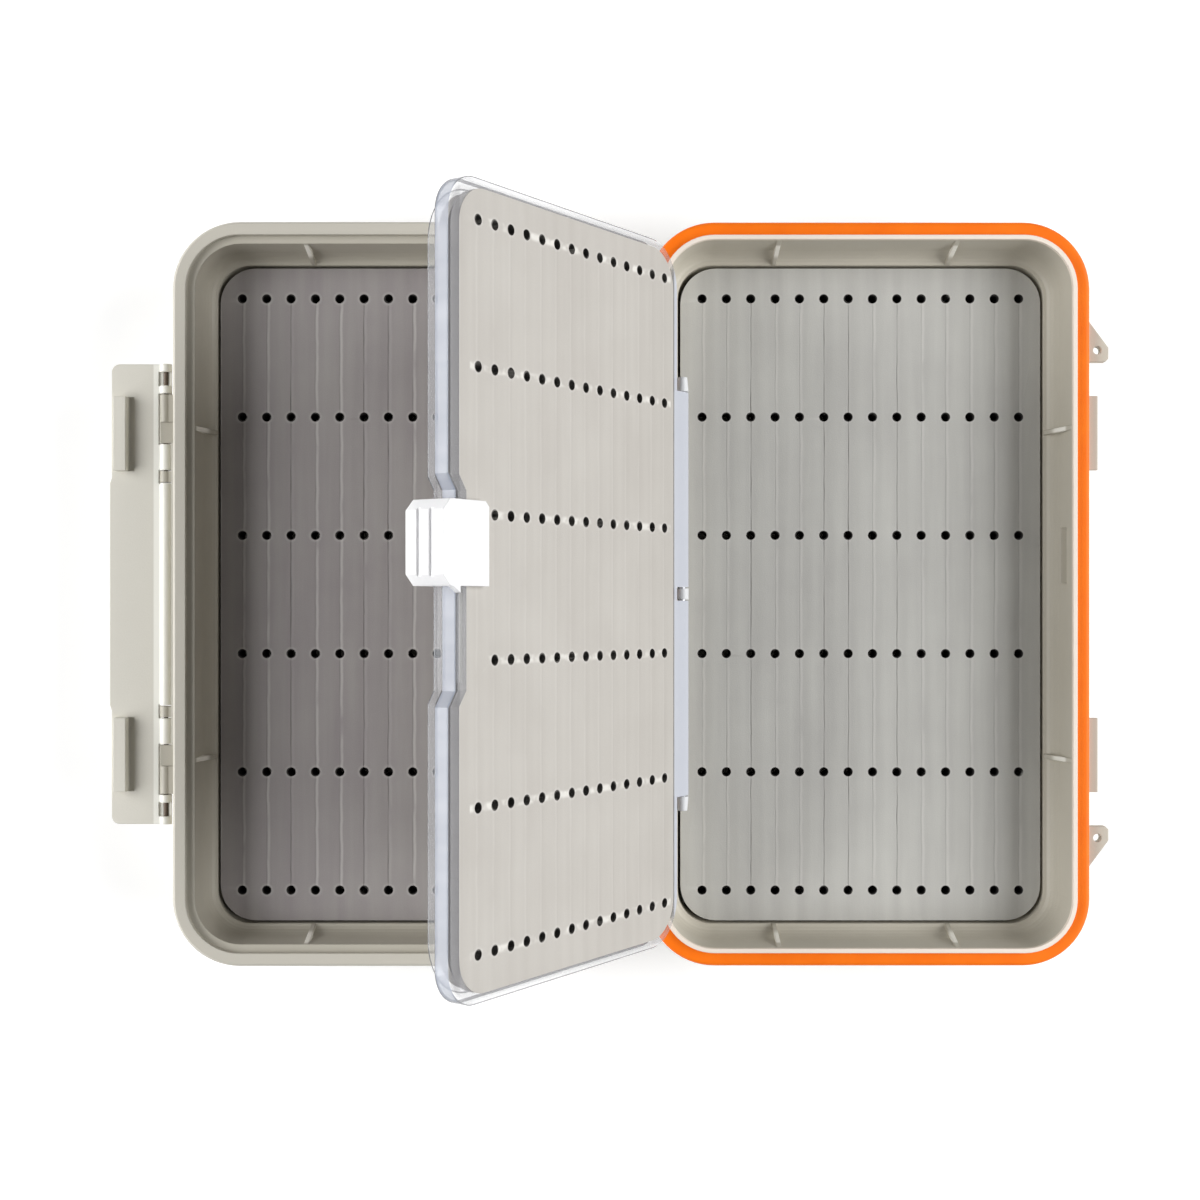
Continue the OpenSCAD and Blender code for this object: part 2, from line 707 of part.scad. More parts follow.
// The small tooth beside the tab's end
module tooth_plan() {
    u0 = rail_end + tab_play;
    polygon([[u0, -tab_l / 2 - tooth_l], [u0 + tooth_w, -tab_l / 2], [u0 + tooth_w, -tab_l / 2 + skin],
        [u0, -tab_l / 2 + skin]]);
}

module leaf_tab() {
    lip_w = groove_w - 2 * tab_play;
    grip_pitch = (tab_back - tab_front) / 3;
    color("white") at_leaf() translate([0, tab_off, 0]) difference() {
        union() {
            translate([0, 0, tab_front]) linear_extrude(tab_t) tab_plan(tab_root);
            translate([0, 0, tab_front]) linear_extrude(tab_t) tooth_plan();
            translate([0, 0, tab_back - tab_back_t]) linear_extrude(tab_back_t) tab_plan(tab_root);
            translate([0, 0, tab_front]) linear_extrude(tab_back - tab_front)
                tab_plan(rail_end + tab_play);
            for (z = [tab_front + tab_t, tab_back - tab_back_t - groove_d])
                translate([groove_at - lip_w / 2, -tab_l / 2, z]) cube([lip_w, tab_l, groove_d]);
        }
        for (k = [1, 2])
            translate([tab_tip - grip_d, -tab_l / 2 - over, tab_front + k * grip_pitch - grip_d])
                cube([grip_d + over, tab_l + 2 * over, 2 * grip_d]);
    }
}

module leaf_rod() {
    color(steel_color) translate([leaf_x, 0, leaf_z])
        bar(rod_r, -rod_half, rod_half);
}

// The flap in the plan, with x away from its axis
module flap_plan() {
    half = latch_l / 2;
    r = latch_corner_r;
    slant = 3 * latch_bulge;
    polygon([[latch_start, -half], [latch_w - r, -half], [latch_w, r - half],
        [latch_w, -middle_half - slant], [latch_w + latch_bulge, -middle_half],
        [latch_w + latch_bulge, middle_half],
        [latch_w, middle_half + slant], [latch_w, half - r], [latch_w - r, half], [latch_start, half]]);
    for (s = [-1, 1])
        translate([latch_w - r, s * (half - r)]) circle(r = r);
}

module latch_plate() {
    color(shell_color) translate([latch_x, 0, latch_z]) mirror([1, 0, 0]) difference() {
        union() {
            translate([0, 0, flap_top - latch_t]) linear_extrude(latch_t) flap_plan();
            for (s = [-1, 1])
                for (span = [[end_knuckle_y, end_knuckle_l], [inner_knuckle_y, inner_knuckle_l]]) {
                    y0 = s > 0 ? span[0] : -span[0] - span[1];
                    eye(latch_r, y0, y0 + span[1], latch_start + skin, -latch_r, flap_top);
                }
            eye(latch_r, -middle_half, middle_half, latch_start + skin, -latch_r, flap_top);
            for (s = [-1, 1])
                translate([hook_inner, s * hook_off - hook_l / 2, flap_top - latch_t / 2])
                    cube([hook_w, hook_l, hook_top - flap_top + latch_t / 2]);
        }
        latch_bores();
        for (s = [-1, 1])
            translate([hook_inner - hook_groove_w, s * hook_off - hook_l / 2,
                flap_top - latch_t + hook_groove_floor])
                cube([hook_groove_w, hook_l, latch_t]);
        for (s = [-1, 1])
            translate([-latch_r - over, s * (latch_l / 2 - end_knuckle_l / 2) - window_l / 2, 0])
                cube([latch_r + latch_start + over, window_l, latch_r + over]);
    }
}

module latch_pin(side) {
    y0 = middle_half + knuckle_play;
    y1 = latch_l / 2 - knuckle_play;
    color(steel_color) translate([latch_x, 0, latch_z])
        bar(latch_pin_r, side > 0 ? y0 : -y1, side > 0 ? y1 : -y0);
}

module latch_pin_upper() {
    latch_pin(1);
}

module latch_pin_lower() {
    latch_pin(-1);
}

base_shell();
seal_ring();
base_foam();
lid_shell();
lid_foam();
hinge_pin_upper();
hinge_pin_lower();
leaf_frame();
leaf_front_foam();
leaf_back_foam();
leaf_tab();
leaf_rod();
latch_plate();
latch_pin_upper();
latch_pin_lower();
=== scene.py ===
import bpy
import json
import math
from mathutils import Matrix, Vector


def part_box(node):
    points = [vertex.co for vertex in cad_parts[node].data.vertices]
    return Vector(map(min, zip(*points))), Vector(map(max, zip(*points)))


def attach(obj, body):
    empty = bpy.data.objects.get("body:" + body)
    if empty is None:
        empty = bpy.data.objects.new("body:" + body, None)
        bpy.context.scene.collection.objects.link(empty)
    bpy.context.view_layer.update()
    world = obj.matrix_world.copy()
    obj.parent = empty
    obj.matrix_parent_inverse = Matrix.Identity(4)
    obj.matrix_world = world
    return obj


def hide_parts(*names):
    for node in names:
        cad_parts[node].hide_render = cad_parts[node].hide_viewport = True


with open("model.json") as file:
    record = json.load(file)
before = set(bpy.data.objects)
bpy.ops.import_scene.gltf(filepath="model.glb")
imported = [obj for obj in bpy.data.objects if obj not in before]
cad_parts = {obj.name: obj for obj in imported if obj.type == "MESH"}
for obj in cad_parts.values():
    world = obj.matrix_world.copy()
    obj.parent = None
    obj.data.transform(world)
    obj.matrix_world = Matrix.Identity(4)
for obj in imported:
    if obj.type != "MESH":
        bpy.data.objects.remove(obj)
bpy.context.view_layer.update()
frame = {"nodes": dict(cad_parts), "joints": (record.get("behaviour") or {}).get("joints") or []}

# ---------------------------------------------------------------- studio
# The open box lies on a pale table under soft, even light, and is seen from straight above, nearly over
# its hinge. The lens sits a little below the middle of the box, and its view is shifted up towards it.
lens_place = (-0.0722, -0.0041, 0.460)
rim_height = 0.025
half_seen_at_rim = 0.1611
picture_shift = 0.0077
table_half, table_top = 3.0, -0.0003
table_end, table_fade = 0.75, 0.3
camera_glow = 0.25
room_light = 0.08

studio = bpy.context.scene
studio.view_settings.view_transform = "Standard"
lens = bpy.data.cameras.new("lens_above_hinge")
lens.sensor_width = 36
lens.angle = 2 * math.atan(half_seen_at_rim / (lens_place[2] - rim_height))
lens.shift_y = picture_shift
eye = bpy.data.objects.new("lens_above_hinge", lens)
eye.location = lens_place
studio.collection.objects.link(eye)
studio.camera = eye


def tint(red, green, blue):
    """A colour as it is seen, 0 to 255, as the linear colour that a shader takes."""
    def linear(v):
        v = v / 255
        return v / 12.92 if v <= 0.04045 else ((v + 0.055) / 1.055) ** 2.4
    return (linear(red), linear(green), linear(blue), 1.0)


class Wire:
    """A node's output. Arithmetic on it adds Math nodes."""
    def __init__(self, bench, socket):
        self.bench = bench
        self.socket = socket

    def __getitem__(self, name):
        return Wire(self.bench, self.socket.node.outputs[name])

    def reckon(self, operation, *values):
        """A Math node on the values."""
        return self.bench.node("ShaderNodeMath", {"operation": operation}, dict(enumerate(values)))

    def __add__(self, other):
        return self.reckon("ADD", self, other)

    def __radd__(self, other):
        return self.reckon("ADD", other, self)

    def __sub__(self, other):
        return self.reckon("SUBTRACT", self, other)

    def __rsub__(self, other):
        return self.reckon("SUBTRACT", other, self)

    def __mul__(self, other):
        return self.reckon("MULTIPLY", self, other)

    def __rmul__(self, other):
        return self.reckon("MULTIPLY", other, self)

    def __truediv__(self, other):
        return self.reckon("DIVIDE", self, other)

    def __rtruediv__(self, other):
        return self.reckon("DIVIDE", other, self)

    def __gt__(self, other):
        return self.reckon("GREATER_THAN", self, other)

    def __lt__(self, other):
        return self.reckon("LESS_THAN", self, other)

    def __abs__(self):
        return self.reckon("ABSOLUTE", self)

    def larger(self, other):
        return self.reckon("MAXIMUM", self, other)

    def smaller(self, other):
        return self.reckon("MINIMUM", self, other)

    def root(self):
        return self.reckon("SQRT", self)

    def whole(self):
        return self.reckon("ROUND", self)

    def below(self, edge, soft):
        """1 below the edge, 0 above it, with a soft step between."""
        return self.bench.node("ShaderNodeMapRange", {"interpolation_type": "SMOOTHSTEP"},
            {"Value": self, "From Min": edge - soft, "From Max": edge + soft, "To Min": 1.0, "To Max": 0.0})


class Bench:
    """A node tree, with one way to add any node to it."""
    def __init__(self, tree):
        self.tree = tree

    def node(self, kind, settings=None, values=None):
        """Adds a node, sets its settings first, and then fills or links its sockets."""
        new = self.tree.nodes.new(kind)
        for name, value in (settings or {}).items():
            if name == "stops":
                ramp = new.color_ramp.elements
                while len(ramp) < len(value):
                    ramp.new(0.5)
                for stop, (place, colour) in zip(ramp, value):
                    stop.position = place
                    stop.color = colour
            elif name == "blend":
                new.color_ramp.interpolation = value
            else:
                setattr(new, name, value)
        for name, value in (values or {}).items():
            self.join(new.inputs[name], value)
        return Wire(self, new.outputs[0]) if new.outputs else new

    def join(self, socket, value):
        """Links a wire to a socket, or sets the socket to a fixed value."""
        if isinstance(value, Wire):
            self.tree.links.new(value.socket, socket)
        else:
            socket.default_value = value


class Finish(Bench):
    """A material with one surface shader, whose fixed values are set on its own sockets."""
    def __init__(self, name, **fixed):
        self.material = bpy.data.materials.new(name)
        self.material.use_nodes = True
        super().__init__(self.material.node_tree)
        self.skin = self.tree.nodes["Principled BSDF"]
        self.coat(**fixed)

    def coat(self, **values):
        """Sets or links the surface shader's sockets."""
        for socket, value in values.items():
            self.join(self.skin.inputs[socket.replace("_", " ")], value)

    def place(self):
        """Where a point of the piece is, in millimetres."""
        here = self.node("ShaderNodeTexCoord")["Object"]
        return self.node("ShaderNodeVectorMath", {"operation": "SCALE"}, {0: here, "Scale": 1000.0})

    def grain(self, where, per_mm, detail=2.0, stretch=(1, 1, 1)):
        """Noise round 0.5, with so many lumps to the millimetre."""
        spot = self.node("ShaderNodeVectorMath", {"operation": "MULTIPLY"}, {0: where, 1: stretch})
        return self.node("ShaderNodeTexNoise", {}, {"Vector": spot, "Scale": per_mm, "Detail": detail})

    def shade(self, low, high, amount):
        """A colour between two, by an amount from 0 to 1."""
        return self.node("ShaderNodeMix", {"data_type": "RGBA"}, {0: amount, 6: low, 7: high})[2]

    def relief(self, height, depth, blunt=None):
        """Bumps as deep, in metres, as the height says from 0 to 1, and edges blunted by a radius."""
        sockets = {"Strength": 1.0, "Distance": depth, "Height": height}
        if blunt:
            sockets["Normal"] = self.node("ShaderNodeBevel", {"samples": 4}, {"Radius": blunt})
        self.coat(Normal=self.node("ShaderNodeBump", {}, sockets))


# The table glows a little for the camera alone, so that it is as white as the room, and fades far away.
table_paint = Finish("pale_table", Base_Color=(0.93, 0.93, 0.93, 1), Roughness=0.9, Specular_IOR_Level=0.1)
by_camera = table_paint.node("ShaderNodeLightPath")["Is Camera Ray"]
glow = table_paint.node("ShaderNodeEmission", {}, {"Color": (1, 1, 1, 1), "Strength": camera_glow})
unlit = table_paint.node("ShaderNodeEmission", {}, {"Color": (0, 0, 0, 1), "Strength": 0.0})
lift = table_paint.node("ShaderNodeMixShader", {}, {0: by_camera, 1: unlit, 2: glow})
paint = Wire(table_paint, table_paint.skin.outputs[0])
painted = table_paint.node("ShaderNodeAddShader", {}, {0: paint, 1: lift})
spot = table_paint.node("ShaderNodeTexCoord")["Object"]
apart = table_paint.node("ShaderNodeVectorMath", {"operation": "LENGTH"}, {0: spot})["Value"]
gone = table_paint.node("ShaderNodeBsdfTransparent")
faded = table_paint.node("ShaderNodeMixShader", {},
    {0: apart.below(table_end, table_fade), 1: gone, 2: painted})
table_paint.join(table_paint.tree.nodes["Material Output"].inputs["Surface"], faded)
table_mesh = bpy.data.meshes.new("table")
table_mesh.from_pydata([(x * table_half, y * table_half, table_top)
    for x, y in ((-1, -1), (1, -1), (1, 1), (-1, 1))], [], [(0, 1, 2, 3)])
table_mesh.materials.append(table_paint.material)
table = bpy.data.objects.new("table", table_mesh)
studio.collection.objects.link(table)

room = bpy.data.worlds.new("white_room")
studio.world = room
room.use_nodes = True
walls = Bench(room.node_tree)
path = walls.node("ShaderNodeLightPath")
looked_at = path["Is Camera Ray"].larger(path["Is Glossy Ray"]).larger(path["Is Transmission Ray"])
backdrop = room.node_tree.nodes["Background"]
walls.join(backdrop.inputs["Color"], (1, 1, 1, 1))
walls.join(backdrop.inputs["Strength"], looked_at * (1 - room_light) + room_light)


def softbox(name, where, size, power, turn):
    """A soft lamp of a size in metres, turned about Y by an angle in degrees."""
    lamp = bpy.data.lights.new(name, "AREA")
    lamp.shape = "RECTANGLE"
    lamp.size, lamp.size_y = size
    lamp.energy = power
    stand = bpy.data.objects.new(name, lamp)
    stand.location = where
    stand.rotation_euler.y = math.radians(turn)
    studio.collection.objects.link(stand)


softbox("softbox_right", where=(0.936, 0.0, 0.654), size=(0.7, 1.2), power=17.0, turn=57)
softbox("softbox_left", where=(-1.149, 0.0, 0.526), size=(0.95, 1.2), power=20.0, turn=-64)

# ---------------------------------------------------------------- base tray
# The right-hand tray is injection-moulded in one piece with its gussets, hinge lugs, catch keepers and
# lanyard ears. It is a warm stone-grey plastic with a fine satin texture cut into the mould.
# The sizes are in millimetres, across and along from a tray's middle, and up from the table.
tray_half_across, tray_half_along = 59.5, 100.0
wall_top_in, wall_foot_in = 5.8, 8.0
gusset_across, gusset_along, gusset_half = 24.0, 44.8, 0.7
gusset_foot = 15.5
rim_half_across = 60.0
lug_end_across, lug_end_along, lug_foot = 52.2, 60.0, 23.5
tongue_foot = 25.15
moulded_blunt = 0.0004


def gusset(place, middle, to_wall, half):
    """The face of a gusset, from the foot of its wall to the rim."""
    face = abs(place - middle).below(gusset_half, 0.1) * to_wall.below(half - wall_top_in, 0.2)
    return face * (1 - to_wall.below(half - wall_foot_in, 1.2))


def moulded(finish, low, high, rough, painted_light_band=None, tray=None):
    """A moulded surface: faint flow marks, a fine etched grain, and a slightly uneven gloss. A painted light
    band, given by its axis, its edge and its colour, is the part beyond the edge, and for a tray also what
    lies outside its rim, painted paler as painted light. A tray, given by its middle, has the faces of the
    gussets in its walls painted pale as a painted highlight, and the lugs at its hinge painted a paler,
    cooler white."""
    spot = finish.place()
    flow = finish.grain(spot, 0.035, 3.0, (1, 0.5, 1))
    etched = finish.grain(spot, 2.6)
    rub = finish.grain(spot, 0.35, 4.0)
    cast = finish.shade(low, high, flow * 0.8 + etched * 0.2)
    axes = finish.node("ShaderNodeSeparateXYZ", {}, {0: spot})
    across, along = abs(axes["X"] - (tray or 0.0)), abs(axes["Y"])
    # Beyond the edge, and for a tray outside its rim, the colour is painted paler: painted light.
    if painted_light_band:
        axis, border, paler = painted_light_band
        plain = axes[axis].below(border, 0.3)
        if tray is not None:
            plain = plain.larger(1 - across.below(rim_half_across, 0.2))
        cast = finish.shade(paler, cast, plain)
    if tray is not None:
        # The gusset faces are painted pale: a painted highlight for the light their thin edges catch.
        gussets = gusset(across, gusset_across, along, tray_half_along)
        gussets = gussets + gusset(along, gusset_along, across, tray_half_across)
        gussets = gussets * (1 - axes["Z"].below(gusset_foot, 1.5))
        cast = finish.shade(cast, tint(250, 247, 238), gussets)
        # The lugs are painted a paler, cooler white.
        lugs = across.below(lug_end_across, 0.2) * along.below(lug_end_along, 0.2)
        lugs = lugs * (1 - axes["Z"].below(lug_foot, 0.3))
        cast = finish.shade(cast, tint(222, 224, 226), lugs)
    finish.coat(Base_Color=cast, Roughness=rub * 0.16 + (rough - 0.08))
    finish.relief(etched * 0.7 + rub * 0.3, 0.00005, moulded_blunt)


def dress(name, finish):
    """Gives a piece of the frame its material."""
    piece = frame["nodes"][name]
    piece.data.materials.clear()
    piece.data.materials.append(finish.material)


stone = Finish("stone_grey_plastic")
# Above the tongue's foot, and outside the rim, the shell is painted a pinkish white: painted light, a
# highlight on the tongue with the seal's orange glow on it.
moulded(stone, tint(186, 180, 166), tint(205, 200, 187), 0.46,
    painted_light_band=("Z", tongue_foot, tint(240, 228, 215)), tray=0.0)
dress("base_shell", stone)

# ---------------------------------------------------------------- rim seal
# An orange silicone ring lies on the base tray's rim, outside the thin upstanding tongue, and is squeezed
# by the lid's rim. It is moulded and pressed in, so its finish is smooth with a faint waxy bloom.
silicone = Finish("orange_silicone", Specular_IOR_Level=0.25)
spot = silicone.place()
bloom = silicone.grain(spot, 0.12, 4.0)
silicone.coat(Base_Color=silicone.shade(tint(241, 104, 0), tint(253, 128, 10), bloom),
    Roughness=bloom * 0.2 + 0.42)
silicone.relief(silicone.grain(spot, 1.4), 0.00004)
dress("seal_ring", silicone)

# ---------------------------------------------------------------- hinge pins
# The two main hinge pins are straight lengths of stainless wire, pressed through the knuckles. Drawing
# the wire leaves fine lines along it.
wire_steel = Finish("drawn_steel_wire", Metallic=1.0)
lines = wire_steel.grain(wire_steel.place(), 3.0, 3.0, (1, 0.04, 1))
wire_steel.coat(Base_Color=wire_steel.shade(tint(176, 178, 182), tint(222, 223, 226), lines),
    Roughness=lines * 0.25 + 0.2)
wire_steel.relief(lines, 0.00002)
dress("hinge_pin_upper", wire_steel)
dress("hinge_pin_lower", wire_steel)

# ---------------------------------------------------------------- tray foams
# Each tray holds a die-cut slab of grey closed-cell foam, glued to the floor. Punched holes stand in
# columns, and a blade has slit the foam from hole to hole, so a hook can be pushed in anywhere on the line.
# The sizes here are in metres.
hole_columns, hole_rows, hole_d = 14, 6, 0.0023
column_margin, row_margin = 0.0057, 0.0081
tray_foam_r, foam_spread = 0.0095, 0.00028
hole_stray, hole_ragged = 0.00013, 0.0005
foam_edge_round = 0.00015

foam_cut = bpy.data.node_groups.new("punch_foam", "GeometryNodeTree")
foam_cut.interface.new_socket("Outline", in_out="INPUT", socket_type="NodeSocketGeometry")
for name in ("Across", "Along", "Centre across", "Centre along", "Hole", "Bottom", "Thickness", "Plain from",
        "Plain half"):
    foam_cut.interface.new_socket(name, in_out="INPUT", socket_type="NodeSocketFloat")
for name in ("Columns", "Rows"):
    foam_cut.interface.new_socket(name, in_out="INPUT", socket_type="NodeSocketInt")
foam_cut.interface.new_socket("Foam", in_out="INPUT", socket_type="NodeSocketMaterial")
foam_cut.interface.new_socket("Slab", in_out="OUTPUT", socket_type="NodeSocketGeometry")

press = Bench(foam_cut)
given = press.node("NodeGroupInput")


def together(*parts):
    """Several shapes as one."""
    joined = press.node("GeometryNodeJoinGeometry")
    for part in parts:
        press.join(joined.socket.node.inputs[0], part)
    return joined


# The places of the holes: a grid, each point a little astray, and none beside the tab's bay.
grid = press.node("GeometryNodeMeshGrid", {}, {
    "Size X": given["Across"] * (given["Columns"] - 1), "Size Y": given["Along"] * (given["Rows"] - 1),
    "Vertices X": given["Columns"], "Vertices Y": given["Rows"]})
middle = press.node("ShaderNodeCombineXYZ", {}, {"X": given["Centre across"], "Y": given["Centre along"]})
stray = press.node("FunctionNodeRandomValue", {"data_type": "FLOAT_VECTOR"},
    {0: (-hole_stray, -hole_stray, 0), 1: (hole_stray, hole_stray, 0), "Seed": 7})
strayed = press.node("ShaderNodeVectorMath", {"operation": "ADD"}, {0: middle, 1: stray})
spots = press.node("GeometryNodeSetPosition", {}, {"Geometry": grid, "Offset": strayed})
where = press.node("ShaderNodeSeparateXYZ", {}, {0: press.node("GeometryNodeInputPosition")})
beside_bay = (where["X"] > given["Plain from"]) * (abs(where["Y"]) < given["Plain half"])
spots = press.node("GeometryNodeDeleteGeometry", {"domain": "POINT"},
    {"Geometry": spots, "Selection": beside_bay})

# The outlines of the holes, of slightly uneven size and with ragged edges.
ring = press.node("GeometryNodeCurvePrimitiveCircle", {"mode": "RADIUS"},
    {"Resolution": 20, "Radius": given["Hole"] * 0.5})
swollen = press.node("FunctionNodeRandomValue", {"data_type": "FLOAT"}, {2: 0.94, 3: 1.04, "Seed": 3})[1]
rings = press.node("GeometryNodeInstanceOnPoints", {}, {"Points": spots, "Instance": ring, "Scale": swollen})
rings = press.node("GeometryNodeRealizeInstances", {}, {"Geometry": rings})
ragged = press.node("ShaderNodeTexNoise", {}, {"Scale": 800.0, "Detail": 1.0})["Color"]
ragged = press.node("ShaderNodeVectorMath", {"operation": "SUBTRACT"}, {0: ragged, 1: (0.5, 0.5, 0.5)})
ragged = press.node("ShaderNodeVectorMath", {"operation": "MULTIPLY"},
    {0: ragged, 1: (hole_ragged, hole_ragged, 0)})
rings = press.node("GeometryNodeSetPosition", {}, {"Geometry": rings, "Offset": ragged})

# The slab: the sheet between the outlines, raised to its thickness and closed underneath.
outer = press.node("GeometryNodeMeshToCurve", {}, {"Mesh": given["Outline"]})
sheet = press.node("GeometryNodeFillCurve", {"mode": "TRIANGLES"}, {"Curve": together(outer, rings)})
rise = press.node("ShaderNodeCombineXYZ", {}, {"Z": given["Thickness"]})
raised = press.node("GeometryNodeExtrudeMesh", {"mode": "FACES"},
    {"Mesh": sheet, "Offset": rise, "Offset Scale": 1.0, "Individual": False})
under = press.node("GeometryNodeFlipFaces", {}, {"Mesh": sheet})
slab = press.node("GeometryNodeMergeByDistance", {},
    {"Geometry": together(raised, under), "Distance": 0.000002})
lowered = press.node("ShaderNodeCombineXYZ", {}, {"Z": given["Bottom"]})
slab = press.node("GeometryNodeSetPosition", {}, {"Geometry": slab, "Offset": lowered})
slab = press.node("GeometryNodeRealizeInstances", {}, {"Geometry": slab})
slab = press.node("GeometryNodeSetMaterial", {}, {"Geometry": slab, "Material": given["Foam"]})
press.join(press.node("NodeGroupOutput").inputs[0], slab)


def cut_foam(name, outline, sizes, finish, place):
    """Punches the holes in a slab of the given outline, softens its edges and puts it in its place."""
    outline_mesh = bpy.data.meshes.new(name + "_outline")
    count = len(outline)
    edges = [(i, (i + 1) % count) for i in range(count)]
    outline_mesh.from_pydata([(x, y, 0) for x, y in outline], edges, [])
    piece = bpy.data.objects.new(name, outline_mesh)
    studio.collection.objects.link(piece)
    cutting = piece.modifiers.new("cut", "NODES")
    cutting.node_group = foam_cut
    inputs = dict(sizes, Foam=finish.material, Hole=hole_d, Columns=hole_columns, Rows=hole_rows)
    for item in foam_cut.interface.items_tree:
        if item.in_out == "INPUT" and item.name in inputs:
            cutting[item.identifier] = inputs[item.name]
    soft = piece.modifiers.new("soft_edges", "BEVEL")
    soft.width = foam_edge_round
    soft.segments = 2
    soft.limit_method = "ANGLE"
    soft.angle_limit = math.radians(50)
    made = bpy.data.meshes.new_from_object(piece.evaluated_get(bpy.context.evaluated_depsgraph_get()))
    piece.modifiers.clear()
    piece.data = made
    plan = made.attributes.new("plan", "FLOAT_VECTOR", "POINT")
    for i, v in enumerate(made.vertices):
        plan.data[i].vector = v.co * 1000
    made.transform(place)
    made.shade_smooth()
    made.set_sharp_from_angle(angle=math.radians(20))
    return piece


def corner(cx, cy, radius, start):
    """A quarter of a circle, from a starting angle."""
    return [(cx + radius * math.cos(math.radians(start + a)), cy + radius * math.sin(math.radians(start + a)))
        for a in range(0, 91, 9)]


def foam_finish(name, low, high, punched, field, slits, swelling, ridges, frayed=0.0, bay=None):
    """Closed-cell foam with punched holes. The field of holes is given in millimetres: its first column, the
    pitch of its columns, that of its rows, and how far it is off the middle. Slits join the holes, each as
    open as the list says, and are painted dark as painted shade where they gape. The foam swells a little
    between them and is painted a touch lighter on the swell as a painted highlight, and a slit that has
    closed shows as a ridge painted pale on one side as a painted highlight. The holes are painted dark as
    painted shade, with a pale painted highlight round their lips. Between the holes of a row the foam may be
    frayed. Beside a bay the last column has no holes."""
    slit_shade, ridge_highlight, lip_highlight = tint(70, 68, 66), tint(226, 224, 220), tint(214, 212, 208)
    frayed_pale, paler_hole_shade = tint(228, 226, 220), tint(122, 120, 116)
    hole_mark, lip_r = 1.28, 1.8
    first, pitch, row, off_middle = field
    foam = Finish(name, Specular_IOR_Level=0.3)
    plan = foam.node("ShaderNodeAttribute", {"attribute_name": "plan"})["Vector"]
    axes = foam.node("ShaderNodeSeparateXYZ", {}, {0: plan})
    from_first, from_middle = axes["X"] - first, axes["Y"] - off_middle

    def nearest(place, step):
        """Which of the places that lie a step apart is nearest, and how far away it is."""
        steps = place / step
        which = steps.whole()
        return which, abs(steps - which) * step

    column, across = nearest(from_first, pitch)
    along = nearest(from_middle - row / 2, row)[1]
    in_field = abs(column - (hole_columns - 1) / 2).below(hole_columns / 2 - 0.1, 0.1)
    in_field = in_field * abs(from_middle).below((hole_rows / 2 - 0.1) * row, 0.1)
    if bay:
        at_bay = (1 - column.below(hole_columns - 1.5, 0.2)) * abs(axes["Y"]).below(bay, 0.5)
        in_field = in_field * (1 - at_bay)
    from_hole = (across * across + along * along).root()
    in_hole = from_hole.below(hole_mark, 0.05) * in_field
    lip = from_hole.below(lip_r, 0.3) * in_field * (1 - in_hole)

    waver = foam.grain(plan, 0.15, 2.0, (0.3, 1, 1)) - 0.5
    between_rows = abs(from_middle).below((hole_rows - 1) / 2 * row, 0.5)
    openness = foam.node("ShaderNodeValToRGB", {"blend": "CONSTANT", "stops": [
        ((i + 0.02) / (len(slits) + 1), (s, s, s, 1)) for i, s in enumerate(slits)]},
        {0: (column + 0.5) / (len(slits) + 1)})
    opening = foam.grain(plan, 0.09) * 1.6 - 0.3
    slit = nearest(from_first + waver * 0.4, pitch)[1].below(0.14, 0.12) * between_rows
    slit = slit * openness * opening.larger(0.0)
    ridge = nearest(from_first + waver * 0.7 - 0.55, pitch)[1].below(0.3, 0.3) * between_rows
    ridge = ridge * (1.15 - openness) * (1 - opening.below(0.25, 0.25))
    swell = 1 - across.below(pitch * 0.25, pitch * 0.25)

    cells = foam.grain(plan, 3.2)
    patch = foam.grain(plan, 0.045, 3.0)
    streak = foam.grain(plan, 0.5, 3.0, (1, 0.06, 1))
    # The swell between the slits is painted a touch lighter: a painted highlight.
    cloth = foam.shade(low, high, patch * 0.5 + cells * 0.25 + streak * 0.3 + swell * 0.1 - 0.05)
    # Beside a closed slit the ridge is painted pale on one side: a painted highlight.
    cloth = foam.shade(cloth, ridge_highlight, ridge * ridges)
    # Where a slit gapes it is painted dark: painted shade inside the cut.
    cloth = foam.shade(cloth, slit_shade, slit * 0.8)
    # Round each hole the lip is painted paler: a painted highlight.
    cloth = foam.shade(cloth, lip_highlight, lip * 0.18)
    spots = (1 - foam.grain(plan, 0.28).below(0.54, 0.12)) * frayed
    cloth = foam.shade(cloth, frayed_pale, along.below(0.8, 0.5) * in_field * spots)
    # The holes are painted dark, paler in places: painted shade inside them.
    cloth = foam.shade(cloth, foam.shade(punched, paler_hole_shade, spots), in_hole)
    foam.coat(Base_Color=cloth, Roughness=cells * 0.12 + 0.7)
    foam.relief(cells * 0.12 + swell * swelling - slit * 0.5, 0.00022)
    return foam


slit_openness = [0.25, 0.4, 1.0, 0.35, 0.3, 0.9, 0.9, 0.35, 0.85, 0.3, 0.4, 0.3, 0.45, 0.3]
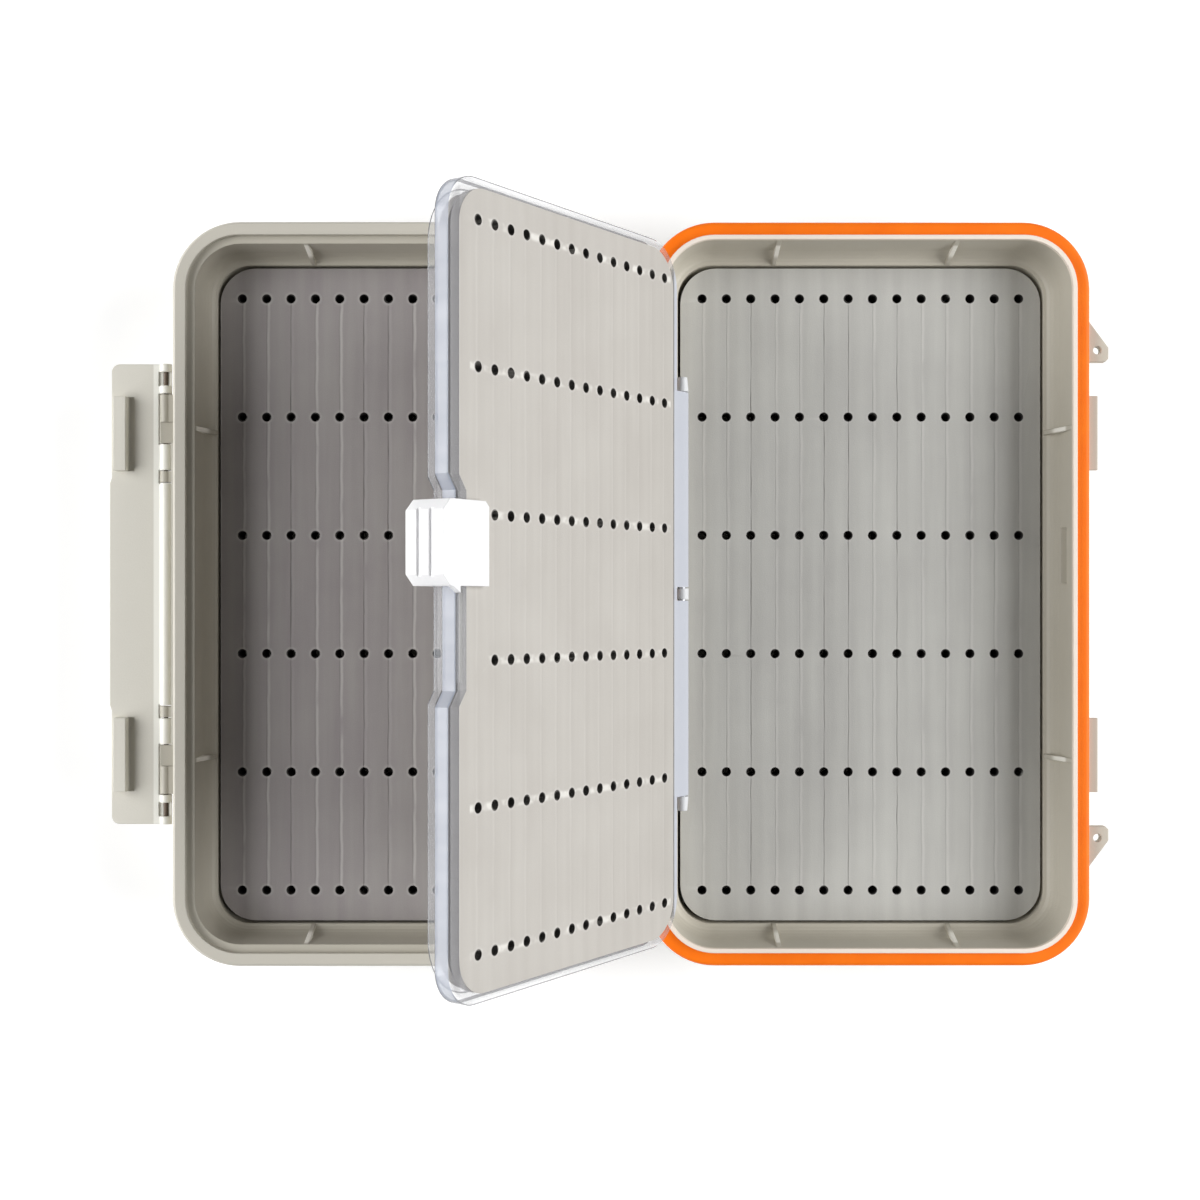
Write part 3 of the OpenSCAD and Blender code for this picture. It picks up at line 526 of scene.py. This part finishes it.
# The lid's foam is the same grey foam as the base's, painted darker: painted shade for the leaf that leans
# over the lid.
for name, body, low, high in (
        ("base_foam", "base", tint(168, 166, 164), tint(212, 212, 206)),
        ("lid_foam", "lid", tint(132, 124, 129), tint(170, 167, 163))):
    least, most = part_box(name)
    half_x, half_y = (most.x - least.x) / 2, (most.y - least.y) / 2
    x, y, r = half_x - tray_foam_r, half_y - tray_foam_r, tray_foam_r + foam_spread
    outline = corner(x, y, r, 0) + corner(-x, y, r, 90) + corner(-x, -y, r, 180) + corner(x, -y, r, 270)
    pitch = 2 * (half_x - column_margin) / (hole_columns - 1)
    row = 2 * (half_y - row_margin) / (hole_rows - 1)
    field = (1000 * (column_margin - half_x), 1000 * pitch, 1000 * row, 0.0)
    dull = foam_finish("grey_" + name, low, high, tint(38, 36, 35), field, slit_openness,
        swelling=0.3, ridges=0.4)
    slab_piece = cut_foam(name + "_slab", outline, {
        "Across": pitch, "Along": row, "Centre across": 0.0, "Centre along": 0.0, "Bottom": least.z,
        "Thickness": most.z - least.z, "Plain from": half_x, "Plain half": 0.0},
        dull, Matrix.Translation(((least.x + most.x) / 2, 0, 0)))
    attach(slab_piece, body)
    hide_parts(name)

# ---------------------------------------------------------------- lid tray
# The lid is the other half of the box, moulded like the base in the same plastic, painted darker than the
# base as painted shade. Its rim is a plain flat band with a rebate that goes over the tongue when the box is
# shut; above the rebate's foot it is painted paler as a painted highlight.
lid_middle, lid_rim_foot = -127.5, 23.9
stone_lid_shaded = Finish("stone_grey_lid_plastic_painted_shade")
moulded(stone_lid_shaded, tint(170, 165, 152), tint(190, 186, 174), 0.46,
    painted_light_band=("Z", lid_rim_foot, tint(198, 194, 183)), tray=lid_middle)
dress("lid_shell", stone_lid_shaded)

# ---------------------------------------------------------------- leaf rod and frame
# The swing leaf turns on a steel rod in the base tray. Its frame is moulded in clear plastic, polished in
# the mould, with a web in its middle that both foams are glued to.
# The leaf's sizes are in millimetres: out from its axis, along it, and deep from its front to its back.
dress("leaf_rod", wire_steel)
front_end, front_half, front_r = 99.7, 92.0, 9.0
back_end, back_half, back_r = 99.2, 91.0, 14.0
notch_edge, notch_half, notch_slope = 97.2, 22.1, 1.4
front_face, step_depth, back_face = -1.6, 2.2, 4.6
hinge_border, free_border, side_border = 6.9, 95.6, 90.0
leaf_hinge = next(joint for joint in frame["joints"] if joint["name"] == "leaf_hinge")
lean = math.radians(leaf_hinge["range_deg"][1])

clear = Finish("clear_plastic", IOR=1.49)
spot = clear.place()
leaf_axis = [1000 * place for place in leaf_hinge["pos_m"]]
from_axis = clear.node("ShaderNodeVectorMath", {"operation": "SUBTRACT"}, {0: spot, 1: leaf_axis})


def reach(direction):
    """How far a point is from the leaf's axis in a direction."""
    dot = clear.node("ShaderNodeVectorMath", {"operation": "DOT_PRODUCT"}, {0: from_axis, 1: direction})
    return dot["Value"]


outward = reach((math.cos(lean), 0.0, math.sin(lean)))
side = abs(reach((0.0, 1.0, 0.0)))
deep = reach((-math.sin(lean), 0.0, math.cos(lean)))
past_slope = (side - notch_half - (outward - notch_edge) * notch_slope) / math.hypot(1.0, notch_slope)
in_notch = (notch_edge - outward).larger(past_slope)


def margin(end, half, radius):
    """How far inside the leaf's outline a point is."""
    a, b = outward - (end - radius), side - (half - radius)
    a0, b0 = a.larger(0.0), b.larger(0.0)
    past = (a0 * a0 + b0 * b0).root() + a.larger(b).smaller(0.0) - radius
    return (0.0 - past).smaller(in_notch)


front_margin = margin(front_end, front_half, front_r)
back_margin = margin(back_end, back_half, back_r)
cloud = clear.grain(spot, 0.06, 3.0)
streak = clear.grain(spot, 0.12, 2.0, (0.2, 1, 0.2))
edge_face = front_margin.below(0.1, 0.04) * deep.below(step_depth - 0.1, 0.1)
edge_face = edge_face * (1 - outward.below(91.0, 5.0))
front = deep.below(front_face + 0.1, 0.05)
inner = front * (1 - front_margin.below(0.9, 0.5))
free_edge_shade = front * (1 - outward.below(free_border, 0.4)) * (1 - front_margin.below(0.3, 0.2))
free_edge_shade = free_edge_shade * side.below(side_border, 4.0)
step_line = abs(deep - (step_depth + 0.05)).below(0.25, 0.12) * front_margin.below(0.7, 0.1)
front_rim = front_margin.below(0.2, 0.08) * deep.below(front_face + 0.4, 0.1) * (1 - side.below(89.0, 2.0))
back_rim = back_margin.below(0.3, 0.1) * (1 - deep.below(back_face - 0.3, 0.12))
edge_face_tone = clear.shade(tint(128, 136, 155), tint(194, 201, 216), streak)
look = clear.shade(tint(226, 230, 238), tint(242, 245, 250), cloud)
solid = cloud * 0.06 + 0.1
# Where each region of the frame is, its colour, and how much less clear it is. The inner border and the free
# edge are greyed and darkened as painted shade of the foam's side seen through the plastic; the hinge border
# is lightened as a painted highlight on the rounded bar; the step and the rims are drawn as dark painted
# refraction lines; the end face is painted a streaked bluish white.
for region, colour, more_solid in (
        (inner, tint(164, 165, 170), 0.2),
        (free_edge_shade, tint(112, 112, 118), 0.15),
        (edge_face, edge_face_tone, 0.5),
        (outward.below(hinge_border, 0.5), tint(205, 209, 219), 0.55),
        (step_line, tint(90, 90, 94), 0.6),
        (front_rim + back_rim, tint(104, 106, 110), 0.6)):
    look = clear.shade(look, colour, region)
    solid = solid + region * more_solid
clear.coat(Base_Color=look, Roughness=cloud * 0.1 + 0.12, Alpha=solid)
clear.relief(clear.grain(spot, 0.5), 0.00002)
dress("leaf_frame", clear)

# ---------------------------------------------------------------- leaf foams
# A thin sheet of paler foam is glued into each side of the leaf's frame. It is punched and slit like the
# foams in the trays, and has no middle holes in its last column, where the tab slides.
sheet_start, sheet_end, sheet_half, sheet_hinge_r = 7.05, 95.75, 90.05, 10.05
bay_edge, bay_holes_from, bay_holes_half = 93.25, 88.0, 20.0
first_column, last_column, leaf_row, rows_off_middle = 11.4, 89.1, 32.8, 0.8
leaf_slit_openness = [0.1, 0.05, 0.12, 0.06, 0.15, 0.1, 0.05, 0.12, 0.08, 0.1, 0.05, 0.12, 0.06, 0.0]
to_leaf = Matrix.Translation(leaf_hinge["pos_m"]) @ Matrix.Rotation(-lean, 4, "Y")
for name, free_r, bottom, top in (("leaf_front_foam", 9.0, -1.5, 0.95), ("leaf_back_foam", 11.0, 2.05, 4.5)):
    free_x, free_y = sheet_end - free_r, sheet_half - free_r
    hinge_x, hinge_y = sheet_start + sheet_hinge_r, sheet_half - sheet_hinge_r
    bay_mouth = notch_half + notch_slope * (sheet_end - bay_edge)
    outline = corner(free_x, -free_y, free_r, 270)
    outline += [(sheet_end, -bay_mouth), (bay_edge, -notch_half)]
    outline += [(bay_edge, notch_half), (sheet_end, bay_mouth)]
    outline += corner(free_x, free_y, free_r, 0) + corner(hinge_x, hinge_y, sheet_hinge_r, 90)
    outline += corner(hinge_x, -hinge_y, sheet_hinge_r, 180)
    pitch = (last_column - first_column) / (hole_columns - 1)
    pale = foam_finish("pale_" + name, tint(172, 167, 161), tint(197, 194, 188), tint(60, 58, 56),
        (first_column, pitch, leaf_row, rows_off_middle), leaf_slit_openness,
        swelling=0.07, ridges=0.1, frayed=0.8, bay=notch_half)
    sheet_piece = cut_foam(name + "_sheet", [(x / 1000, y / 1000) for x, y in outline], {
        "Across": pitch / 1000, "Along": leaf_row / 1000,
        "Centre across": (first_column + last_column) / 2000, "Centre along": rows_off_middle / 1000,
        "Bottom": bottom / 1000, "Thickness": (top - bottom) / 1000,
        "Plain from": bay_holes_from / 1000, "Plain half": bay_holes_half / 1000}, pale, to_leaf)
    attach(sheet_piece, "leaf")
    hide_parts(name)

# ---------------------------------------------------------------- leaf tab
# An opaque white slider wraps the notched edge of the leaf and locks it over the base. It is moulded in a
# slippery plastic, snapped over the edge, and guided by a groove on each side.
slider_white = Finish("white_slider_plastic", Subsurface_Weight=0.4, Subsurface_Scale=0.002,
    Subsurface_Radius=(1.0, 1.0, 1.0))
moulded(slider_white, tint(238, 238, 240), tint(250, 250, 250), 0.34)
dress("leaf_tab", slider_white)

# ---------------------------------------------------------------- latch
# A long flap with two hooks hangs on two thin pins at the lid's far side. It is moulded in the same family of
# plastic as the trays, a shade paler, and snaps under the base's keepers. Its knuckles are painted paler
# still, as a painted highlight on them. The pins are steel, coloured a dark brown.
knuckle_edge = -193.6
pale_stone = Finish("pale_stone_plastic")
moulded(pale_stone, tint(216, 213, 202), tint(232, 229, 219), 0.42,
    painted_light_band=("X", knuckle_edge, tint(247, 246, 238)))
dress("latch_plate", pale_stone)
brown_steel = Finish("dark_brown_steel_pin", Metallic=0.6)
bloom = brown_steel.grain(brown_steel.place(), 1.2, 4.0)
brown_steel.coat(Base_Color=brown_steel.shade(tint(60, 50, 42), tint(100, 88, 76), bloom),
    Roughness=bloom * 0.3 + 0.35)
dress("latch_pin_upper", brown_steel)
dress("latch_pin_lower", brown_steel)
